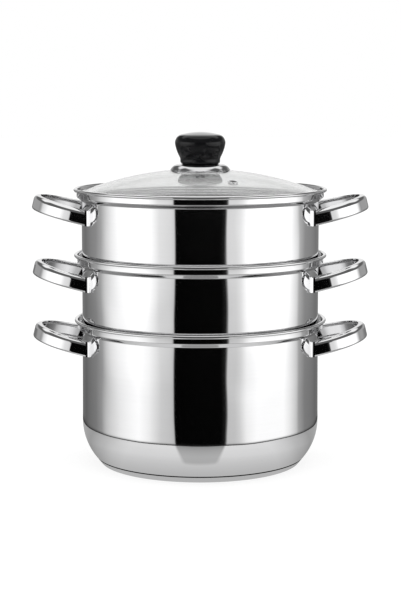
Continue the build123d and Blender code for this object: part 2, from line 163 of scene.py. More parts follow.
class Shader:
    """A node tree under construction, for a material or for the world."""

    def __init__(self, owner: bpy.types.Material | bpy.types.World) -> None:
        """Empties the owner's node tree."""
        self.owner = owner
        owner.use_nodes = True
        self.tree = owner.node_tree
        self.tree.nodes.clear()

    def node(
        self,
        kind: str,
        settings: dict[str, Any] | None = None,
        inputs: dict[str | int, Any] | None = None,
        output: str | int | None = 0,
    ) -> Wire:
        """Adds a node.

        Args:
            kind: the node's type.
            settings: its own properties, set first; stops are a ramp's places and greys.
            inputs: values or wires for its sockets, by name or number.
            output: the output that is wanted, or None for a node that ends the tree.

        Returns:
            That output.
        """
        node = self.tree.nodes.new(kind)
        for name, value in (settings or {}).items():
            if name == "stops":
                self._set_stops(node.color_ramp, value)
            else:
                setattr(node, name, value)
        for name, value in (inputs or {}).items():
            if isinstance(value, Wire):
                self.tree.links.new(value.socket, node.inputs[name])
            else:
                node.inputs[name].default_value = value
        return Wire(self, None if output is None else node.outputs[output])

    @staticmethod
    def _set_stops(ramp: bpy.types.ColorRamp, stops: list[Point]) -> None:
        """Gives a ramp its stops, each a place and a grey."""
        while len(ramp.elements) < len(stops):
            ramp.elements.new(1.0)
        for element, (place, grey) in zip(ramp.elements, stops):
            element.position = place
            element.color = (grey, grey, grey, 1.0)

    def place(self) -> tuple[Wire, Wire, Wire]:
        """Object coordinates, in metres, as three wires."""
        return self.split(self.node("ShaderNodeTexCoord", output="Object"))

    def split(self, vector: Wire) -> tuple[Wire, Wire, Wire]:
        """The three parts of a vector."""
        x, y, z = [self.node("ShaderNodeSeparateXYZ", {}, {0: vector}, axis) for axis in "XYZ"]
        return x, y, z

    def join(self, x: Any, y: Any, z: Any) -> Wire:
        """Vector of three wires or numbers."""
        return self.node("ShaderNodeCombineXYZ", {}, {0: x, 1: y, 2: z})

    def noise(self, vector: Wire, scale: float, detail: float = 2.0) -> Wire:
        """Noise between 0 and 1 at a scale in cells a metre."""
        inputs = {"Vector": vector, "Scale": scale, "Detail": detail}
        return self.node("ShaderNodeTexNoise", {}, inputs)

    def ramp(self, at: Wire, stops: Stops) -> Wire:
        """Grey that follows stops, each a place between 0 and 1 and a grey."""
        top = max(max(grey for _, grey in stops), 1.0)
        scaled = [(place, grey / top) for place, grey in stops]
        return self.node("ShaderNodeValToRGB", {"stops": scaled}, {"Fac": at}) * top

    def ray(self, kind: str) -> Wire:
        """1 for one kind of ray, else 0."""
        return self.node("ShaderNodeLightPath", output=f"Is {kind} Ray")

    def blend(self, share: Any, first: tuple[float, ...], second: tuple[float, ...]) -> Wire:
        """Colour between two colours."""
        low, high = MIX_COLOURS
        inputs = {"Factor": share, low: (*first, 1.0), high: (*second, 1.0)}
        return self.node("ShaderNodeMix", {"data_type": "RGBA"}, inputs, MIX_RESULT)

    def bump(self, height: Wire, strength: float, depth: float) -> Wire:
        """Normal of a height between 0 and 1, for a relief that is depth metres deep."""
        inputs = {"Height": height, "Strength": strength, "Distance": depth}
        return self.node("ShaderNodeBump", {}, inputs)

    def surface(self, inputs: dict[str | int, Any]) -> None:
        """Ends a material with one Principled shader."""
        shader = self.node("ShaderNodeBsdfPrincipled", {}, inputs)
        self.node("ShaderNodeOutputMaterial", {}, {"Surface": shader}, None)


# Finishes


@dataclass(frozen=True)
class Steel:
    """Polished stainless steel."""

    name: str
    colour: Colour = (0.82, 0.82, 0.825)
    roughness: float = 0.035
    line_scale: float = 900.0
    line_slant: float = 0.01
    line_share: float = 0.5
    haze_scale: float = 40.0
    haze_detail: float = 3.0
    haze_stretch: float = 0.5
    spread: float = 0.02
    darkening: float = 0.93
    dent_scale: float = 22.0
    dent_detail: float = 1.0
    dent_stretch: float = 0.6
    dent_height: float = 7.0
    dent_depth: float = 1e-4

    def material(self) -> bpy.types.Material:
        """Steel with polishing lines round the axis, a slight haze and shallow dents."""
        shader = Shader(bpy.data.materials.new(self.name))
        x, y, z = shader.place()
        slant = x * self.line_slant + y * self.line_slant
        lines = shader.noise(shader.join(reach(x, y), slant, z), self.line_scale)
        stretched = shader.join(x, y, z * self.haze_stretch)
        haze = shader.noise(stretched, self.haze_scale, self.haze_detail)
        stretched = shader.join(x, y, z * self.dent_stretch)
        dent = shader.noise(stretched, self.dent_scale, self.dent_detail)
        smoothest = self.roughness - self.spread / 2
        worn = lines * self.line_share + haze * (1.0 - self.line_share)
        darker = tuple(channel * self.darkening for channel in self.colour)
        shader.surface(
            {
                "Base Color": shader.blend(worn, self.colour, darker),
                "Metallic": 1.0,
                "Roughness": lines * self.spread + haze * self.spread + smoothest,
                "Normal": shader.bump(dent * self.dent_height, 1.0, self.dent_depth),
            }
        )
        return shader.owner


@dataclass(frozen=True)
class Phenolic:
    """Glossy black moulding with a slight orange peel and a lacquered crown."""

    name: str = "black phenolic"
    colour: Colour = (0.004, 0.004, 0.0045)
    roughness: float = 0.06
    index: float = 1.33
    cloud_scale: float = 60.0
    cloud_detail: float = 3.0
    cloud_spread: float = 0.05
    cloud_drop: float = 0.02
    cloud_paling: float = 2.2
    peel_scale: float = 700.0
    peel_detail: float = 1.0
    peel_strength: float = 0.01
    peel_depth: float = 1e-6
    coat_drop: float = 0.004
    coat_gain: float = 2.0
    coat_index: float = 2.4

    def material(self) -> bpy.types.Material:
        """Black gloss that varies a little in sheen, under a lacquered crown."""
        shader = Shader(bpy.data.materials.new(self.name))
        x, y, z = shader.place()
        place = shader.join(x, y, z)
        cloud = shader.noise(place, self.cloud_scale, self.cloud_detail)
        peel = shader.noise(place, self.peel_scale, self.peel_detail)
        coat_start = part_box("knob")[1].z - self.coat_drop
        lacquer = (z - coat_start) / self.coat_drop * self.coat_gain
        paler = tuple(channel * self.cloud_paling for channel in self.colour)
        shader.surface(
            {
                "Base Color": shader.blend(cloud, self.colour, paler),
                "Roughness": cloud * self.cloud_spread + (self.roughness - self.cloud_drop),
                "Normal": shader.bump(peel, self.peel_strength, self.peel_depth),
                "IOR": self.index,
                "Coat Weight": lacquer.clamped(),
                "Coat IOR": self.coat_index,
            }
        )
        return shader.owner


@dataclass(frozen=True)
class Glass:
    """Clear tempered glass."""

    name: str = "tempered glass"
    tint: Colour = (0.99, 0.995, 0.99)
    # Painted shade: the grey that the glass takes where it is seen edge-on
    edge: Colour = (0.72, 0.73, 0.73)
    grazing_shade_blend: float = 0.5
    grazing_shade_power: float = 8.0
    index: float = 1.47
    wave_scale: float = 12.0
    wave_detail: float = 1.0
    wave_tint: float = 0.02
    wave_roughness: float = 0.004
    wave_strength: float = 0.02
    wave_depth: float = 1e-4

    def material(self) -> bpy.types.Material:
        """Clear glass with the faint waves that tempering leaves, and painted shade where it is seen
        edge-on.
        """
        shader = Shader(bpy.data.materials.new(self.name))
        place = shader.join(*shader.place())
        wave = shader.noise(place, self.wave_scale, self.wave_detail)
        # Painted shade: the colour darkens where the glass is seen edge-on, with a little random
        # tone from the waves
        facing = shader.node("ShaderNodeLayerWeight", {}, {"Blend": self.grazing_shade_blend}, "Facing")
        edge = facing ** self.grazing_shade_power + wave * self.wave_tint
        shader.surface(
            {
                "Base Color": shader.blend(edge, self.tint, self.edge),
                "Roughness": wave * self.wave_roughness,
                "Normal": shader.bump(wave, self.wave_strength, self.wave_depth),
                "Transmission Weight": 1.0,
                "IOR": self.index,
            }
        )
        return shader.owner


@dataclass(frozen=True)
class Plain:
    """A matt or metallic finish of one colour with some grain: silicone, brass, aluminium."""

    name: str
    colour: Colour
    metallic: float
    roughness: float
    grain_scale: float = 400.0
    grain_detail: float = 3.0
    grain_slant: float = 0.05
    grain_spread: float = 0.12
    grain_darkening: float = 0.88
    relief_strength: float = 0.1
    relief_depth: float = 1e-4

    def material(self) -> bpy.types.Material:
        """Finish with a fine grain in its colour and its sheen."""
        shader = Shader(bpy.data.materials.new(self.name))
        x, y, z = shader.place()
        place = shader.join(reach(x, y), x * self.grain_slant, z)
        grain = shader.noise(place, self.grain_scale, self.grain_detail)
        darker = tuple(channel * self.grain_darkening for channel in self.colour)
        shader.surface(
            {
                "Base Color": shader.blend(grain, self.colour, darker),
                "Metallic": self.metallic,
                "Roughness": grain * self.grain_spread + self.roughness,
                "Normal": shader.bump(grain, self.relief_strength, self.relief_depth),
            }
        )
        return shader.owner


# Modelling


class Section:
    """A section drawn in edit mode on the XZ plane, point by point, then turned."""

    def __init__(self, name: str, start: Point) -> None:
        """Starts at one point: a small plane merged to a vertex."""
        bpy.ops.object.select_all(action="DESELECT")
        bpy.ops.mesh.primitive_plane_add(size=SEED_SIZE)
        self.object = bpy.context.object
        self.object.name = name
        self.object.data.name = name
        bpy.ops.object.mode_set(mode="EDIT")
        bpy.ops.mesh.select_mode(type="VERT")
        bpy.ops.mesh.select_all(action="SELECT")
        bpy.ops.mesh.merge(type="CENTER")
        bpy.ops.transform.translate(value=(start[0], 0.0, start[1]))
        self.at = Vector(start)

    def line_to(self, point: Point) -> None:
        """Extrudes a straight edge to a point."""
        step = Vector(point) - self.at
        if step.length < WELD_DISTANCE:
            return
        move = {"value": (step.x, 0.0, step.y)}
        bpy.ops.mesh.extrude_vertices_move(TRANSFORM_OT_translate=move)
        self.at = Vector(point)

    def arc(self, centre: Point, turn: float) -> None:
        """Spins the last point round a centre, anticlockwise where turn is positive."""
        arm = self.at - Vector(centre)
        length = arm.length * math.radians(abs(turn))
        by_angle = round(abs(turn) / BEND_STEP)
        by_length = math.ceil(length / BEND_LENGTH)
        bpy.ops.mesh.spin(
            steps=max(FEWEST_ARC_STEPS, by_angle, by_length),
            angle=math.radians(turn),
            center=(centre[0], 0.0, centre[1]),
            axis=(0.0, 1.0, 0.0),
        )
        self.at = Vector(centre) + Matrix.Rotation(math.radians(turn), 2) @ arm

    def bent(self, corners: list[Point], bends: list[float], sheet: float) -> None:
        """Follows the right-hand face of a bent sheet that lies to the left.

        Args:
            corners: the face's sharp corners, from the section's start onwards.
            bends: the inside bend radius at each corner between the ends.
            sheet: the sheet's thickness.
        """
        points = [Vector(corner) for corner in corners]
        for index, bend in enumerate(bends):
            before = (points[index + 1] - points[index]).normalized()
            after = (points[index + 2] - points[index + 1]).normalized()
            turn = -math.degrees(before.angle_signed(after))
            radius = bend + sheet if turn > 0 else bend
            tangent = radius * math.tan(math.radians(abs(turn)) / 2)
            start = points[index + 1] - before * tangent
            side = 1 if turn > 0 else -1
            centre = start + Vector((-before.y, before.x)) * radius * side
            self._support(start, before, -1)
            self.line_to(tuple(start))
            self.arc(tuple(centre), turn)
            self._support(self.at.copy(), after, 1)
        self.line_to(tuple(points[-1]))

    def _support(self, tangent: Vector, heading: Vector, side: int) -> None:
        """Adds a point just before or after a bend, where the straight has room for it."""
        point = tangent + heading * BEND_SUPPORT * side
        if (point - self.at).dot(heading) > WELD_DISTANCE:
            self.line_to(tuple(point))

    def close(self) -> None:
        """Joins the section's last point to its first."""
        bpy.ops.mesh.select_all(action="SELECT")
        bpy.ops.mesh.remove_doubles(threshold=WELD_DISTANCE)

    def turn(self, steps: int = TURN_STEPS) -> bpy.types.Object:
        """Turns the section once round the Z axis and welds its seam and poles.

        Returns:
            The object, in object mode, with its faces all turned the same way.
        """
        bpy.ops.mesh.select_all(action="SELECT")
        bpy.ops.mesh.spin(
            steps=steps,
            angle=math.radians(FULL_TURN),
            center=(0.0, 0.0, 0.0),
            axis=(0.0, 0.0, 1.0),
            use_auto_merge=True,
        )
        bpy.ops.mesh.select_all(action="SELECT")
        bpy.ops.mesh.remove_doubles(threshold=WELD_DISTANCE)
        bpy.ops.mesh.normals_make_consistent(inside=False)
        bpy.ops.object.mode_set(mode="OBJECT")
        return self.object


def pick(piece: bpy.types.Object) -> None:
    """Selects one piece alone and makes it active."""
    bpy.ops.object.select_all(action="DESELECT")
    piece.select_set(True)
    bpy.context.view_layer.objects.active = piece


def apply_modifier(piece: bpy.types.Object, kind: str, **settings: Any) -> None:
    """Adds a modifier to a piece and applies it."""
    pick(piece)
    modifier = piece.modifiers.new(kind.lower(), kind)
    for name, value in settings.items():
        setattr(modifier, name, value)
    bpy.ops.object.modifier_apply(modifier=modifier.name)


def face_outwards(piece: bpy.types.Object) -> None:
    """Flips the faces of an open shell whose curled edge has made them all face inwards."""
    bpy.ops.object.mode_set(mode="EDIT")
    bpy.ops.mesh.select_all(action="SELECT")
    bpy.ops.mesh.flip_normals()
    bpy.ops.object.mode_set(mode="OBJECT")
    log.info("%s has its faces outwards", piece.name)


def thicken(piece: bpy.types.Object, sheet: float) -> None:
    """Gives a turned face its wall, inwards."""
    apply_modifier(piece, "SOLIDIFY", thickness=sheet, offset=-1.0, use_even_offset=True)


def cut(piece: bpy.types.Object, cutter: bpy.types.Object) -> None:
    """Cuts one object out of a piece and deletes the cutter."""
    apply_modifier(piece, "BOOLEAN", operation="DIFFERENCE", solver="EXACT", object=cutter)
    bpy.data.objects.remove(cutter)


def smooth(piece: bpy.types.Object) -> None:
    """Shades a piece smooth apart from its sharp edges."""
    pick(piece)
    bpy.ops.object.shade_smooth_by_angle(angle=math.radians(SMOOTH_ANGLE))


def dress(piece: bpy.types.Object, material: bpy.types.Material) -> None:
    """Gives a piece its material."""
    piece.data.materials.clear()
    piece.data.materials.append(material)


def keep_solid(node: str, material: bpy.types.Material) -> None:
    """Dresses a node that no modelled piece stands for."""
    dress(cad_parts[node], material)
    log.info("%s keeps its solid", node)


def stand_for(piece: bpy.types.Object, node: str, body: str) -> None:
    """Puts a finished piece in a node's place on its body."""
    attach(piece, body)
    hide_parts(node)
    low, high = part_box(node)
    log.info("%s stands for %s, %.1f mm tall", piece.name, node, (high.z - low.z) * MM_PER_METRE)


# Materials, made once for every piece


@dataclass(frozen=True)
class Palette:
    """The materials that the sub-assemblies share."""

    mirror: bpy.types.Material
    fitting: bpy.types.Material
    phenolic: bpy.types.Material
    glass: bpy.types.Material
    silicone: bpy.types.Material
    brass: bpy.types.Material
    # Near black, as painted shade in the groove under the pot where the core shows
    aluminium: bpy.types.Material

    @classmethod
    def mixed(cls) -> "Palette":
        """Makes every material of the pot."""
        return cls(
            mirror=Steel("polished steel").material(),
            fitting=Steel("fitting steel", (0.7, 0.7, 0.705), 0.08).material(),
            phenolic=Phenolic().material(),
            glass=Glass().material(),
            silicone=Plain("silicone", (0.75, 0.75, 0.74), 0.0, 0.4).material(),
            brass=Plain("turned brass", (0.78, 0.6, 0.3), 1.0, 0.25).material(),
            # The aluminium core shows only in the groove over the cap, and its near black is painted
            # shade there
            aluminium=Plain("aluminium darkened as groove shade", (0.05, 0.05, 0.05), 1.0, 0.5).material(),
        )


# Pieces


@dataclass(frozen=True)
class Lip:
    """The rolled lip, collar and shoulder that all three vessels share."""

    bead_radius: float = 0.0018
    bead_turn: float = 270.0
    collar_step: float = 0.0049
    collar_depth: float = 0.0072
    shoulder_drop: float = 0.0035
    bend: float = 0.001

    def corners(self, body_radius: float, height: float) -> list[Point]:
        """Corners of the outer face from the body's top up to the bead's middle."""
        collar_radius = body_radius + self.collar_step
        return [
            (body_radius, height - self.collar_depth - self.shoulder_drop),
            (collar_radius, height - self.collar_depth),
            (collar_radius, height),
        ]


@dataclass
class Vessel:
    """One vessel: the pot or a steamer tier."""

    node: str
    body: str
    floor: Floor
    lip: Lip
    radius: float = 0.120
    sheet: float = 0.0006
    tier_bend: float = 0.0094
    pot_belly: float = 0.0007
    pot_curve: float = 0.058
    foot_slope: float = 51.5
    foot_bend: float = 0.0024
    foot_run: float = 0.0007
    hole_radius: float = 0.0035
    hole_pitch: float = 0.022
    hole_rings: int = 4
    hole_sides: int = 24
    hole_depth: float = 0.004
    hole_reach: float = 1.01

    @property
    def bottom(self) -> float:
        """Height of the floor's underside."""
        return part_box(self.node)[0].z

    @property
    def lip_height(self) -> float:
        """Height of the bead's middle."""
        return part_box(self.node)[1].z - self.lip.bead_radius

    def _floor_corners(self) -> tuple[list[Point], list[float]]:
        """Corners of the outer face up to the wall, and their inside bends."""
        if self.floor is Floor.PERFORATED:
            return [(0.0, self.bottom), (self.radius, self.bottom)], [self.tier_bend]
        slope = math.radians(self.foot_slope)
        length = (
            (self.foot_bend + self.sheet) * math.tan(slope / 2)
            + self.foot_run
            + self.pot_curve * math.tan((math.radians(QUARTER_TURN) - slope) / 2)
        )
        wall = self.radius + self.pot_belly
        foot = (wall - length * math.cos(slope), self.bottom)
        top = (wall, self.bottom + length * math.sin(slope))
        return [(0.0, self.bottom), foot, top], [self.foot_bend, self.pot_curve - self.sheet]

    def _holes(self) -> bpy.types.Object:
        """Cutter for the steam holes: one drill, copied over a hexagon of rings."""
        bpy.ops.object.select_all(action="DESELECT")
        bpy.ops.mesh.primitive_cylinder_add(
            vertices=self.hole_sides,
            radius=self.hole_radius,
            depth=self.hole_depth,
            location=(0.0, 0.0, self.bottom),
        )
        drill = bpy.context.object
        bpy.ops.object.transform_apply(location=True, rotation=True, scale=True)
        bpy.ops.object.mode_set(mode="EDIT")
        row_pitch = self.hole_pitch * HEXAGON_RISE
        for row in range(-self.hole_rings, self.hole_rings + 1):
            count = 2 * self.hole_rings + 1 - abs(row)
            for column in range(count):
                x = (column - (count - 1) / 2) * self.hole_pitch
                if row == 0 and abs(x) < self.hole_radius:
                    continue
                self._copy_drill(drill, x, row * row_pitch)
        bpy.ops.object.mode_set(mode="OBJECT")
        return drill

    def _copy_drill(self, drill: bpy.types.Object, x: float, y: float) -> None:
        """Copies the central drill to a place."""
        bpy.ops.mesh.select_all(action="DESELECT")
        bpy.ops.object.mode_set(mode="OBJECT")
        limit = self.hole_radius * self.hole_reach
        for vertex in drill.data.vertices:
            vertex.select = math.hypot(vertex.co.x, vertex.co.y) < limit
        bpy.ops.object.mode_set(mode="EDIT")
        bpy.ops.mesh.duplicate_move(TRANSFORM_OT_translate={"value": (x, y, 0.0)})

    def build(self, palette: Palette) -> bpy.types.Object:
        """Models the vessel in its node's place.

        Args:
            palette: the pot's materials.

        Returns:
            The finished piece.
        """
        corners, bends = self._floor_corners()
        corners += self.lip.corners(self.radius, self.lip_height)
        bends += [self.lip.bend, self.lip.bend]
        section = Section(f"{self.node}.steel", corners[0])
        section.bent(corners, bends, self.sheet)
        inner = self.lip.bead_radius - self.sheet
        curl_centre = (corners[-1][0] + inner, self.lip_height)
        section.arc(curl_centre, -self.lip.bead_turn)
        piece = section.turn()
        face_outwards(piece)
        thicken(piece, self.sheet)
        if self.floor is Floor.PERFORATED:
            cut(piece, self._holes())
        smooth(piece)
        dress(piece, palette.mirror)
        stand_for(piece, self.node, self.body)
        return piece


@dataclass
class Base:
    """The pressed cap under the pot."""

    sheet: float = 0.0006
    bend: float = 0.0024
    slope: float = 51.5
    worn_edge: float = 0.0004
    trim_margin: float = 1e-5

    def build(self, palette: Palette) -> bpy.types.Object:
        """Models the cap, flush with the foot's slope.

        Args:
            palette: the pot's materials.

        Returns:
            The finished cap.
        """
        low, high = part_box("base_cap")
        lean = math.tan(math.radians(self.slope))
        bottom_radius = high.x - (high.z - low.z) / lean
        corners = [(0.0, low.z), (bottom_radius, low.z), (high.x, high.z)]
        section = Section("base_cap.steel", corners[0])
        section.bent(corners, [self.bend], self.sheet)
        piece = section.turn()
        thicken(piece, self.sheet)
        self._trim(piece, high.z - self.worn_edge - self.trim_margin)
        smooth(piece)
        dress(piece, palette.mirror)
        stand_for(piece, "base_cap", "pot")
        return piece

    def _trim(self, piece: bpy.types.Object, height: float) -> None:
        """Cuts the cap's edge level and closes it."""
        bpy.context.view_layer.objects.active = piece
        bpy.ops.object.mode_set(mode="EDIT")
        bpy.ops.mesh.select_all(action="SELECT")
        bpy.ops.mesh.bisect(plane_co=(0.0, 0.0, height), plane_no=(0.0, 0.0, 1.0), clear_outer=True)
        bpy.ops.mesh.select_all(action="DESELECT")
        bpy.ops.mesh.select_mode(type="EDGE")
        bpy.ops.mesh.select_non_manifold()
        bpy.ops.mesh.bridge_edge_loops()
        bpy.ops.object.mode_set(mode="OBJECT")


@dataclass
class Lid:
    """The domed glass with its steel band and steam vent."""

    body: str = "lid"
    rim_sheet: float = 0.0005
    rim_leg: float = 0.0026
    rim_top_flange: float = 0.0052
    rim_under_flange: float = 0.006
    hem_width: float = 0.002
    hem_bend: float = 0.0003
    top_bend: float = 0.001
    edge_space: float = 0.0019
    rise: float = 0.0226
    glass: float = 0.004
    clearance: float = 0.0001
    bore_radius: float = 0.0045
    eyelet_bore: float = 0.003
    eyelet_flange: float = 0.00515
    eyelet_sheet: float = 0.0006
    eyelet_steps: int = 64
    vent_clearance: float = 0.0003
    vent_sides: int = 48
    vent_reach: float = 4.0

    def __post_init__(self) -> None:
        """Works out the dome from the band's place in the frame."""
        low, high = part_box("lid_rim")
        self.hem_bottom = low.z
        self.rim_radius = high.x
        self.glass_radius = self.rim_radius - self.rim_sheet - self.edge_space
        self.edge_height = self.hem_bottom + self.rim_leg + self.glass
        self.apex = self.edge_height + self.rise
        self.dome_radius = (self.glass_radius**2 + self.rise**2) / (2 * self.rise)
        self.dome_centre = self.apex - self.dome_radius

    def dome_height(self, radius: float, depth: float = 0.0) -> float:
        """Height at a radius of a surface a depth below the glass's upper face."""
        return self.dome_centre + math.sqrt((self.dome_radius - depth) ** 2 - radius**2)

    def build_glass(self, palette: Palette) -> bpy.types.Object:
        """Models the glass: the dome's two faces, its edge, its bore and the vent hole."""
        share = 1 - self.glass / self.dome_radius
        centre = (0.0, self.dome_centre)
        start = (self.bore_radius, self.dome_height(self.bore_radius))
        section = Section("lid_glass.dome", start)
        upper = self._sweep(self.bore_radius, self.glass_radius, self.dome_radius)
        section.arc(centre, -upper)
        edge = self.glass_radius * share
        section.line_to((edge, self.dome_height(edge, self.glass)))
        inner_radius = self.dome_radius - self.glass
        lower = self._sweep(self.bore_radius, edge, inner_radius)
        section.arc(centre, lower)
        section.line_to(start)
        section.close()
        piece = section.turn()
        cut(piece, self._vent_drill())
        smooth(piece)
        dress(piece, palette.glass)
        stand_for(piece, "lid_glass", self.body)
        return piece

    @staticmethod
    def _sweep(inner: float, outer: float, radius: float) -> float:
        """Angle between two distances from the axis on a sphere."""
        return math.degrees(math.asin(outer / radius) - math.asin(inner / radius))

    def _vent_frame(self) -> Matrix:
        """Turn and place of the vent, on the glass's upper face with Z outwards."""
        low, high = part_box("vent_eyelet")
        middle = (low + high) / 2
        centre = Vector((0.0, 0.0, self.dome_centre))
        outwards = (middle - centre).normalized()
        turn = Vector((0.0, 0.0, 1.0)).rotation_difference(outwards).to_matrix().to_4x4()
        return Matrix.Translation(centre + outwards * self.dome_radius) @ turn

    def _vent_drill(self) -> bpy.types.Object:
        """Cutter for the vent hole."""
        bpy.ops.object.select_all(action="DESELECT")
        bpy.ops.mesh.primitive_cylinder_add(
            vertices=self.vent_sides,
            radius=self.eyelet_bore + self.eyelet_sheet + self.vent_clearance,
            depth=self.glass * self.vent_reach,
        )
        drill = bpy.context.object
        drill.data.transform(self._vent_frame())
        return drill

    def build_rim(self, palette: Palette) -> bpy.types.Object:
        """Models the band: a flange under the glass, a hem, a wall and a flange over it."""
        under = self.glass + self.clearance + self.rim_sheet
        over = -self.clearance - self.rim_sheet
        under_radius = self.glass_radius - self.rim_under_flange
        leg = self.rim_radius - self.hem_width
        over_radius = self.rim_radius - self.rim_top_flange
        corners = [
            (under_radius, self.dome_height(under_radius, under)),
            (leg, self.dome_height(leg, under)),
            (leg, self.hem_bottom),
            (self.rim_radius, self.hem_bottom),
            (self.rim_radius, self.dome_height(self.rim_radius, over)),
            (over_radius, self.dome_height(over_radius, over)),
        ]
        bends = [self.hem_bend, self.hem_bend, self.hem_bend, self.top_bend]
        section = Section("lid_rim.band", corners[0])
        section.bent(corners, bends, self.rim_sheet)
        piece = section.turn()
        thicken(piece, self.rim_sheet)
        smooth(piece)
        dress(piece, palette.mirror)
        stand_for(piece, "lid_rim", self.body)
        return piece

    def build_eyelet(self, palette: Palette) -> bpy.types.Object:
        """Models the vent's eyelet, rolled over both faces of the glass."""
        over = self.clearance + self.eyelet_sheet
        under = -self.glass - over
        corners = [
            (self.eyelet_flange, over),
            (self.eyelet_bore, over),
            (self.eyelet_bore, under),
            (self.eyelet_flange, under),
        ]
        bend = self.eyelet_sheet / 2
        section = Section("vent_eyelet.roll", corners[0])
        section.bent(corners, [bend, bend], self.eyelet_sheet)
        piece = section.turn(self.eyelet_steps)
        thicken(piece, self.eyelet_sheet)
        piece.data.transform(self._vent_frame())
        smooth(piece)
        dress(piece, palette.mirror)
        stand_for(piece, "vent_eyelet", self.body)
        return piece


@dataclass
class Knob:
    """The black knob on its steel dish."""

    body: str = "lid"
    neck_radius: float = 0.0201
    neck_height: float = 0.0057
    neck_bend: float = 0.003
    flare: float = 26.6
    flare_bend: float = 0.006
    flank_height: float = 0.0138
    flank_flare: float = 11.3
    flank_bend: float = 0.042
    brim_bend: float = 0.0086
    crown: float = 0.0019
    crown_radius: float = 0.0165
    recess_wall: float = 0.004
    recess_depth: float = 0.009
    insert_radius: float = 0.005
    dish_top_radius: float = 0.0266
    dish_bend: float = 0.0078
    dish_sheet: float = 0.0008
    dish_bore: float = 0.0028

    def build_knob(self, palette: Palette) -> bpy.types.Object:
        """Models the knob from its hollow underside, up its flare, to its crown."""
        low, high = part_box("knob")
        base, top = low.z, high.z
        neck_top = base + self.neck_height
        flank = base + self.flank_height
        flank_radius = self.neck_radius + (flank - neck_top) * math.tan(math.radians(self.flare))
        crown_edge = top - self.crown
        widening = math.tan(math.radians(self.flank_flare))
        fall = math.tan(2 * math.atan2(self.crown, self.crown_radius))
        drop = (flank_radius - self.crown_radius) * fall
        rise = (crown_edge - flank - drop) / (1 + widening * fall)
        boss = self.insert_radius + self.recess_wall
        recess = self.neck_radius - self.recess_wall
        recess_top = base + self.recess_depth
        section = Section("knob.moulding", (self.insert_radius, base))
        for point in [(boss, base), (boss, recess_top), (recess, recess_top), (recess, base)]:
            section.line_to(point)
        corners = [
            (recess, base),
            (self.neck_radius, base),
            (self.neck_radius, neck_top),
            (flank_radius, flank),
            (flank_radius + rise * widening, flank + rise),
            (self.crown_radius, crown_edge),
        ]
        radii = [self.neck_bend, self.flare_bend, self.flank_bend, self.brim_bend]
        section.bent(corners, radii, 0.0)
        sphere = (self.crown_radius**2 + self.crown**2) / (2 * self.crown)
        sweep = math.degrees(math.asin(self.crown_radius / sphere))
        section.arc((0.0, top - sphere), sweep)
        piece = section.turn()
        self._close_pocket(piece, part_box("knob_insert")[1].z)
        smooth(piece)
        dress(piece, palette.phenolic)
        stand_for(piece, "knob", self.body)
        return piece

    def _close_pocket(self, piece: bpy.types.Object, height: float) -> None:
        """Extrudes the insert's pocket up from its mouth and closes it."""
        bpy.context.view_layer.objects.active = piece
        bpy.ops.object.mode_set(mode="EDIT")
        bpy.ops.mesh.select_mode(type="EDGE")
        bpy.ops.mesh.select_all(action="DESELECT")
        bpy.ops.mesh.select_non_manifold()
        move = {"value": (0.0, 0.0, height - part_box("knob")[0].z)}
        bpy.ops.mesh.extrude_edges_move(TRANSFORM_OT_translate=move)
        bpy.ops.mesh.edge_face_add()
        bpy.ops.mesh.select_all(action="SELECT")
        bpy.ops.mesh.normals_make_consistent(inside=False)
        bpy.ops.object.mode_set(mode="OBJECT")

    def build_dish(self, palette: Palette, lid: Lid) -> bpy.types.Object:
        """Models the pressed dish under the knob: a rounded slope over the glass, then flat."""
        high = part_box("knob_dish")[1]
        radius, top = high.x, high.z
        edge = lid.dome_height(radius - self.dish_sheet) + lid.clearance + self.dish_sheet / 2
        corners = [(radius, edge), (self.dish_top_radius, top), (self.dish_bore, top)]
        section = Section("knob_dish.pressing", corners[0])
        section.bent(corners, [self.dish_bend], self.dish_sheet)
        piece = section.turn()
        thicken(piece, self.dish_sheet)
        smooth(piece)
        dress(piece, palette.fitting)
        stand_for(piece, "knob_dish", self.body)
        return piece


@dataclass
class Handles:
    """The six loop handles, which keep their CAD solids."""

    vessels: tuple[str, ...] = ("pot", "lower", "upper")

    def build(self, palette: Palette) -> None:
        """Dresses the handles."""
        for vessel in self.vessels:
            for side in ("right", "left"):
                keep_solid(f"{vessel}_handle_{side}", palette.mirror)


@dataclass
class Fittings:
    """The hidden pieces, which keep their CAD solids."""

    def build(self, palette: Palette) -> None:
        """Dresses each in its own material."""
        finishes = {
            # The core is coloured near black as painted shade in the groove
            "base_core": palette.aluminium,
            "knob_spacer": palette.silicone,
            "knob_insert": palette.brass,
            "glass_seal": palette.silicone,
            "screw_washer": palette.fitting,
            "knob_screw": palette.fitting,
        }
        for node, material in finishes.items():
            keep_solid(node, material)


# Studio


